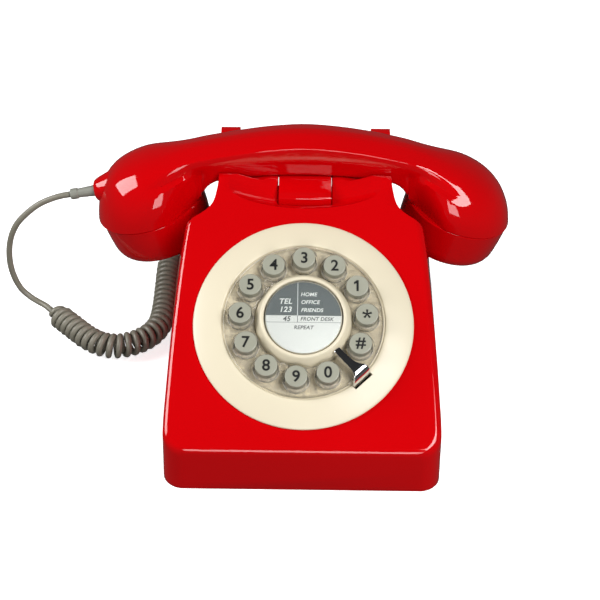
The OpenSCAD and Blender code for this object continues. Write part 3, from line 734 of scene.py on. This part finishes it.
print_card = Finish("printed_card")
middle = tuple(dial_middle * MM)
up_the_face = (0, math.cos(slope_angle), math.sin(slope_angle))
from_middle = print_card.node("ShaderNodeVectorMath", {"operation": "SUBTRACT"},
                              {0: print_card.place, 1: middle})
card_up = print_card.node("ShaderNodeVectorMath", {"operation": "DOT_PRODUCT"},
                          {0: from_middle, 1: up_the_face}, out=1)
card_right = print_card.node("ShaderNodeSeparateXYZ", None, {0: from_middle})
fibre = print_card.cloud(900, 5)
slate = print_card.blend(fibre, (0.045, 0.068, 0.077), (0.058, 0.082, 0.091))
paper = print_card.blend(fibre, (0.76, 0.76, 0.76), (0.81, 0.81, 0.81))
ink = (0.12, 0.14, 0.15)
upper = card_up > 1.1 * MM
rule = (card_up > -2.95 * MM) * (card_up < -2.65 * MM)
upright = (card_right > -3.45 * MM) * (card_right < -3.05 * MM) * (card_up > -2.8 * MM)
ground = print_card.blend(upper, paper, slate)
line_colour = print_card.blend(upper, ink, (0.75, 0.78, 0.8))
ground = print_card.blend(upright, ground, line_colour)
ground = print_card.blend(rule * 0.8, ground, ink)
print_card.skin(Base_Color=ground, Roughness=0.5 + 0.1 * fibre,
                Normal=print_card.bumps(fibre, 0.05, 0.00005))
coat(["number_card"], print_card.material)


print_height = 0.03


def lettering(name, words, size, place, material, body, slant=0.0, weight=0.0):
    """Printed words a hair's breadth thick, drawn flat and then laid on their surface."""
    curve = bpy.data.curves.new(name, "FONT")
    curve.body = words
    curve.size = size * MM
    curve.align_x = "CENTER"
    curve.align_y = "CENTER"
    curve.shear = slant
    curve.offset = weight * MM
    curve.extrude = print_height * MM
    curve.space_character = 1.05
    drawn = placed(name + "_drawn", curve)
    bpy.context.view_layer.update()
    scene_state = bpy.context.evaluated_depsgraph_get()
    mesh = bpy.data.meshes.new_from_object(drawn.evaluated_get(scene_state))
    bpy.data.objects.remove(drawn)
    printed = placed(name, mesh)
    middle_x = (min(v.co.x for v in mesh.vertices) + max(v.co.x for v in mesh.vertices)) / 2
    middle_y = (min(v.co.y for v in mesh.vertices) + max(v.co.y for v in mesh.vertices)) / 2
    move(printed, place @ Matrix.Translation((-middle_x, -middle_y, 0)))
    wear(printed, material)
    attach(printed, body)


def printing(name, colour):
    """Matt ink that varies a little in its colour."""
    dye = Finish(name)
    lighter = tuple(c * 1.2 + 0.002 for c in colour)
    dye.skin(Base_Color=dye.blend(dye.cloud(1500), colour, lighter), Roughness=0.4)
    return dye.material


black_print = printing("black_print", (0.002, 0.002, 0.002))
white_print = printing("white_print", (0.80, 0.82, 0.82))
grey_print = printing("grey_print", (0.03, 0.036, 0.04))
print_level = 11.12
card_words = (("card_tel", "TEL", 4.3, -9.6, 9.3, white_print),
              ("card_123", "123", 4.3, -9.4, 4.6, white_print),
              ("card_45", "45", 4.0, -9.0, -0.8, grey_print),
              ("card_home", "HOME", 3.0, 2.9, 13.4, white_print),
              ("card_office", "OFFICE", 3.0, 3.8, 8.9, white_print),
              ("card_friends", "FRIENDS", 3.0, 4.7, 4.3, white_print),
              ("card_desk", "FRONT DESK", 2.9, 7.4, -0.8, grey_print),
              ("card_repeat", "REPEAT", 3.0, 0.3, -5.7, grey_print))
for name, words, size, x, y, dye in card_words:
    on_card = on_dial @ Matrix.Translation((x * MM, y * MM, print_level * MM))
    lettering(name, words, size, on_card, dye, "redial_button",
              slant=0.2, weight=0.09 if size > 3.5 else 0.06)

lens_dome = round_off([(20.7, 11.3), (20.8, 11.6), (20.6, 12.0), (19.4, 12.35), (14, 12.75), (7, 12.95),
                       (0, 13.0)])
lens = lathe("lens", [(0, 11.3), (20.4, 11.3)] + lens_dome)
move(lens, on_dial)
soften(lens, 0)
glazing = Finish("clear_moulding")
edge_on = glazing.node("ShaderNodeFresnel", None, {"IOR": 1.45})
see_through = glazing.node("ShaderNodeBsdfTransparent", None, {"Color": (0.97, 0.98, 0.97, 1)})
shine = glazing.node("ShaderNodeBsdfPrincipled", None,
                     {"Base Color": (0.9, 0.9, 0.88, 1), "Roughness": 0.04,
                      "Specular IOR Level": 0.5, "Metallic": 0.0})
haze = 0.02 * glazing.cloud(200)
glazing.end(glazing.node("ShaderNodeMixShader", None, {0: edge_on * 1.3 + haze, 1: see_through, 2: shine}))
wear(lens, glazing.material)
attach(lens, "redial_button")
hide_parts("card_lens")

# ---- Clear disc over the dial ----
# Clear moulding with a rolled rim, a collar round every key and three small studs.
collar_clear = Finish("clear_collars")
edge_line = collar_clear.node("ShaderNodeFresnel", None, {"IOR": 1.52})
body_tint = collar_clear.node("ShaderNodeBsdfTransparent", None, {"Color": (0.99, 0.98, 0.955, 1)})
gleam = collar_clear.node("ShaderNodeBsdfPrincipled", None,
                          {"Base Color": (0.93, 0.90, 0.82, 1), "Roughness": 0.06,
                           "Specular IOR Level": 0.8})
mist = 0.05 * collar_clear.cloud(300)
collar_clear.end(collar_clear.node("ShaderNodeMixShader", None,
                                   {0: edge_line * 1.9 + mist, 1: body_tint, 2: gleam}))
coat(["clear_dial_disc", "cord_plug"], collar_clear.material)

# ---- Keys ----
# Twelve round grey caps with softened rims and a printed figure, all copied from the first one
# and each riding its own key.
key_profile = [(0, -1.6), (2.2, -1.6), (2.2, -1), (6, -1), (6, 0.2), (7.2, 0.2), (7.2, 1.4), (6.05, 1.4)]
key_profile += round_off([(6.05, 11.9), (6.05, 12.75), (5.85, 12.95), (5.2, 13.0), (4.6, 12.96),
                          (0, 12.9)], 3)
first_key = lathe("first_key", key_profile, 64)
soften(first_key, 0)
key_plastic = Finish("grey_key_moulding")
mottle = key_plastic.cloud(160, 5)
key_plastic.skin(Base_Color=key_plastic.blend(mottle, (0.29, 0.29, 0.23), (0.34, 0.34, 0.275)),
                 Roughness=0.3 + 0.1 * mottle,
                 Normal=key_plastic.bumps(key_plastic.cloud(1200, 3), 0.06, 0.0001))
figures = {"hash": "#"}
cap_top = 12.96
figure_size = 8.8
bar_top = 0.035
arm_outline = [(-0.3, -0.1), (0.3, -0.1), (0.62, 2.6), (-0.62, 2.6)]
flag_outline = [(-0.3, 3.15), (-0.3, 1.75), (-1.95, 0.75), (-1.95, 2.05)]


def star_arm(turn):
    """One of the five bars of the star, turned about its middle."""
    arm = rod("figure_star", arm_outline, -print_height, bar_top, "Z")
    move(arm, Matrix.Rotation(math.radians(turn), 4, "Z"))
    return arm


for word, angle in key_angles.items():
    node = "key_" + word
    cap = placed("cap_" + word, first_key.data.copy())
    move(cap, ring_place(angle, key_ring))
    wear(cap, key_plastic.material)
    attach(cap, node + "_button")
    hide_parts(node)
    upright_place = ring_place(angle, key_ring) @ Matrix.Rotation(math.radians(-angle), 4, "Z")
    on_cap = upright_place @ Matrix.Translation((0, 0, cap_top * MM))
    if word == "star":
        arms = star_arm(0)
        for turn in range(72, 360, 72):
            carve(arms, star_arm(turn), "UNION")
        move(arms, on_cap)
        wear(arms, black_print)
        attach(arms, node + "_button")
        continue
    lettering("figure_" + word, figures.get(word, word), figure_size, on_cap, black_print,
              node + "_button", weight=0.18)
    if word == "1":
        flag = rod("figure_1_flag", flag_outline, -print_height, bar_top, "Z")
        move(flag, on_cap)
        wear(flag, black_print)
        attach(flag, node + "_button")
bpy.data.objects.remove(first_key)

# ---- Finger stop ----
# A chromed steel strip: its tip lies over the ring, its waist flares out, turns down and drops
# through the bezel in a slot.
# rows of radius, height, two side edges and thickness
stop_path = ((25.3, 11.7, -1.0, 1.2, 0.5), (25.5, 11.8, -1.5, 1.7, 0.9), (26, 11.9, -1.75, 2.0, 1.2),
             (30, 11.9, -1.8, 2.0, 1.3), (34, 11.9, -1.9, 2.1, 1.3), (37, 11.9, -2.0, 2.5, 1.3),
             (39.4, 11.9, -2.2, 3.4, 1.3), (41, 11.85, -2.6, 4.8, 1.3), (42.2, 11.75, -3.2, 5.5, 1.3),
             (43.2, 11.4, -3.8, 5.9, 1.4), (44.0, 10.7, -4.4, 6.05, 1.5), (44.6, 9.6, -5.1, 6.1, 1.6),
             (45.0, 8.2, -5.8, 6.15, 1.7), (45.2, 6.6, -6.1, 6.15, 1.8), (45.3, 4, -6.15, 6.15, 1.9),
             (45.3, -8, -6.15, 6.15, 1.9))


stop_sides = 16
squareness = 0.35


def stop_point(row, column):
    """A point of the strip: row along it, column round its nearly square section."""
    r, h, low, high, thick = stop_path[row]
    r0, h0 = stop_path[max(row - 1, 0)][:2]
    r1, h1 = stop_path[min(row + 1, len(stop_path) - 1)][:2]
    way = Vector((r1 - r0, h1 - h0)).normalized()
    lift = Vector((-way.y, way.x))
    a = 2 * math.pi * (column % stop_sides) / stop_sides
    across_share = math.copysign(abs(math.cos(a)) ** squareness, math.cos(a))
    lift_share = math.copysign(abs(math.sin(a)) ** squareness, math.sin(a))
    w = (low + high) / 2 + (high - low) / 2 * across_share
    return r + lift.x * thick / 2 * lift_share, w, h + lift.y * thick / 2 * lift_share


stop = skin_of("chrome_stop", len(stop_path) - 1, stop_sides, stop_point)
move(stop, ring_place(stop_angle))
soften(stop, 0, keep=50)
chrome = Finish("chrome_plate")
haze_marks = chrome.cloud(220, 6)
chrome.skin(Base_Color=chrome.blend(haze_marks, (0.74, 0.75, 0.77), (0.80, 0.81, 0.83)), Metallic=1.0,
            Roughness=0.05 + 0.06 * haze_marks)
wear(stop, chrome.material)
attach(stop, "base")
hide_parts("finger_stop")

# ---- Hook bar ----
# Red bar between the ears that the handset presses down, its front edge well rounded.
bar_outline = [(34, 88), (34, 100.6), (34.25, 101.3), (34.8, 101.85), (35.8, 102.15), (47.4, 105.1),
               (48.8, 105.6), (71.2, 105.6), (72, 104.8), (72, 97), (62.5, 97), (62.5, 88)]
bar_half = 14.8
bar = rod("hook_bar_top", bar_outline, -bar_half, bar_half, "X")
carve(bar, block("flange", (-18, 34, 88), (18, 62.5, 90.6)), "UNION")
leg_y = 42
for x in (-9, 9):
    leg = disc_tool(2.5, 80, 88.4)
    move(leg, Matrix.Translation((x * MM, leg_y * MM, 0)))
    carve(bar, leg, "UNION")
soften(bar, 0.22)
wear(bar, red)
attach(bar, "hook_bar")
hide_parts("hook_plunger")

# ---- Boards, bells and levers ----
# What is inside: green circuit boards, copper coils, brass bells, a white lever and the slider.
resist = Finish("green_board")
traces = resist.node("ShaderNodeTexBrick", {"offset": 0.3},
                     {"Vector": resist.place, "Scale": 140.0, "Color1": (0.02, 0.12, 0.05, 1),
                      "Color2": (0.03, 0.16, 0.07, 1), "Mortar": (0.06, 0.26, 0.11, 1)})
resist.skin(Base_Color=traces, Roughness=0.35 + 0.1 * resist.cloud(400))
coat(["main_board", "key_board"], resist.material)
winding = Finish("copper_winding")
layers = winding.node("ShaderNodeTexWave", {"bands_direction": "Z"},
                      {"Vector": winding.place, "Scale": 900.0})
winding.skin(Base_Color=winding.blend(layers, (0.35, 0.12, 0.04), (0.6, 0.26, 0.1)), Metallic=0.8,
             Roughness=0.35, Normal=winding.bumps(layers, 0.3, 0.0002))
coat(["ringer_coil"], winding.material)
bell = Finish("bell_brass")
turning = bell.cloud(120, 5)
bell.skin(Base_Color=bell.blend(turning, (0.58, 0.43, 0.18), (0.70, 0.55, 0.27)), Metallic=1.0,
          Roughness=0.18 + 0.12 * turning)
coat(["gong_left", "gong_right"], bell.material)
coat(["hook_lever"], cream)
coat(["microphone_capsule"], black)
coat(["ringer_slider"], red)

# ---- Handset ----
# One glossy red hollow moulding: an arched handle with a crisp crease along each side that melts
# into the two cups, and a snout for the cord on the left cup.
handset_y = 61.0
left_end, right_end = 119.4, 118.3
ridge = ((-left_end, 71.6), (-119.1, 77.5), (-117.9, 86), (-115.4, 93.8), (-111, 100.4), (-106, 104.6),
         (-100, 107.9), (-92, 111), (-80, 114.2), (-69, 117.2), (-55, 120.6), (-38, 124.2), (-20, 127.2),
         (0, 128.7), (20, 127.2), (38, 124.3), (55, 120.4), (67, 116.8), (80, 111.9), (90, 107.9),
         (98, 104), (105, 99.3), (111, 93.2), (115, 86.2), (117.5, 78.6), (right_end, 71.4))
cup_middle, cup_radius = 88.5, 31
cup_lean = math.radians(17)
seam_height = 80
seam_rise = math.tan(cup_lean)
handle_end = 58.9
half_stations = ([2, 6, 10, 15, 20, 25, 30, 35, 40, 44, 48, 51, 53.5, 55.5, 57, 58.2, 58.8, 59.0, 60,
                  61.5, 63, 65, 67, 69] + list(range(71, 111, 2))
                 + [112, 113.4, 114.6, 115.6, 116.4, 117, 117.5, 117.9, 118.15, right_end])
stations = [-x * (left_end / right_end if x > 112 else 1) for x in reversed(half_stations)] + half_stations


def handset_point(row, column):
    """A point of the handset: row along it, column round the section, the handle melting into a cup."""
    x = stations[row]
    t = curved(x, ridge)
    reach = abs(x)
    seam = seam_height + (cup_middle - reach) * seam_rise
    floor = curved(reach, under_handle) if reach < handle_end else seam
    end = 119.5 if x < 0 else 118.4
    part = (reach - cup_middle) / ((end - cup_middle) if reach > cup_middle else 29.9)
    cup = cup_radius * math.sqrt(max(1 - part * part, 0.0012))
    k = column if column <= 24 else 48 - column
    mirror = 1 if column <= 24 else -1
    handle = ((0, t), (1.5, t), (2.9, t - 0.1), (5.2, t - 0.75), (7.8, t - 1.5), (10.4, t - 2.3),
              (12.4, t - 3.0), (13.0, t - 3.35), (13.25, t - 4.0), (13.35, t - 6), (13.4, t - 8),
              (13.35, t - 10), (13.3, t - 12))
    if k <= 12:
        hx, hz = handle[k]
    elif k <= 18:
        share = (k - 12) / 6
        hx = 13.3 - 0.8 * share
        hz = (t - 12) * (1 - share) + (floor + 2.4) * share
    else:
        hx, hz = ((12.2, floor + 1.3), (11.4, floor + 0.5), (10.1, floor + 0.1), (8, floor), (4, floor),
                  (0, floor))[k - 19]
    h = max(t - seam, 0.15)
    if k <= 20:
        turn = math.radians(90) * (1 - k / 20)
        dx = cup * math.cos(turn) ** 0.86
        dz = seam + h * math.sin(turn) ** 0.9
    else:
        dx, dz = cup * (24 - k) / 4, seam
    melt = smooth((reach - 55) / 25)
    melt_top = smooth((reach - 58) / 36)
    share = melt_top if k < 12 else melt
    px = hx * (1 - share) + dx * share
    pz = hz * (1 - share) + dz * share
    if reach > handle_end:
        px = min(px, cup + 3.2 * max(pz - seam, 0))
        if k >= 20:
            pz = seam
    return x, handset_y + mirror * px, pz


handset = skin_of("handset_moulding", len(stations) - 1, 48, handset_point)
soften(handset, 0, keep=35)
red_handset = moulding("glossy_red_handset", (0.50, 0.0, 0.0012), (0.56, 0.0003, 0.002), 0.02)
wear(handset, red_handset)
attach(handset, "handset")
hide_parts("handset_shell")

boot_start = boot_end - 15 * boot_way
snout_side = round_off([(13.4, -18), (11, -12), (9, -7), (7.5, -3), (6.4, -0.8), (5.4, 0.2), (4.6, 0.4),
                        (2.45, 0.4)])
snout = lathe("cord_snout", [(2.45, -18)] + snout_side + [(2.45, -18)], 64)
move(snout, Matrix.Translation(boot_start * MM) @ Matrix.Rotation(boot_tilt, 4, "Y"))
soften(snout, 0, keep=40)
wear(snout, red_handset)
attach(snout, "handset")

# ---- Cup caps ----
# Screwed caps under the two cups, with a rounded rim and seven sound holes in each.
cap_profile = [(0, -23.6), (12, -23.4), (20, -22.4), (24, -19), (25.4, -12), (25.4, -6), (23.4, -3),
               (23.4, 4), (25.4, 4), (25.4, 0)]
cap_profile += [(30.1, 0), (30.1, -0.45), (30.7, -0.7)]
cap_profile += round_off([(30.85, -1.1), (30.5, -9), (29.9, -16), (29.2, -20.5), (27.2, -24), (23, -25.9),
                          (12, -27), (0, -27.2)], 3)
sound_ring = 9
sound_holes = [(0, 0)] + [(sound_ring * math.cos(a * math.pi / 3), sound_ring * math.sin(a * math.pi / 3))
                          for a in range(6)]
for side, name, node in ((-1, "mouth_cover", "mouth_cap"), (1, "ear_cover", "ear_cap")):
    cover = lathe(name, cap_profile, 96)
    for x, y in sound_holes:
        hole = disc_tool(1.2, -34, -14, 24)
        move(hole, Matrix.Translation((x * MM, y * MM, 0)))
        carve(cover, hole)
    seat = Matrix.Translation((side * cup_middle * MM, handset_y * MM, seam_height * MM))
    move(cover, seat @ Matrix.Rotation(side * cup_lean, 4, "Y"))
    soften(cover, 0, keep=35)
    wear(cover, red_handset)
    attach(cover, "handset")
    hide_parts(node)
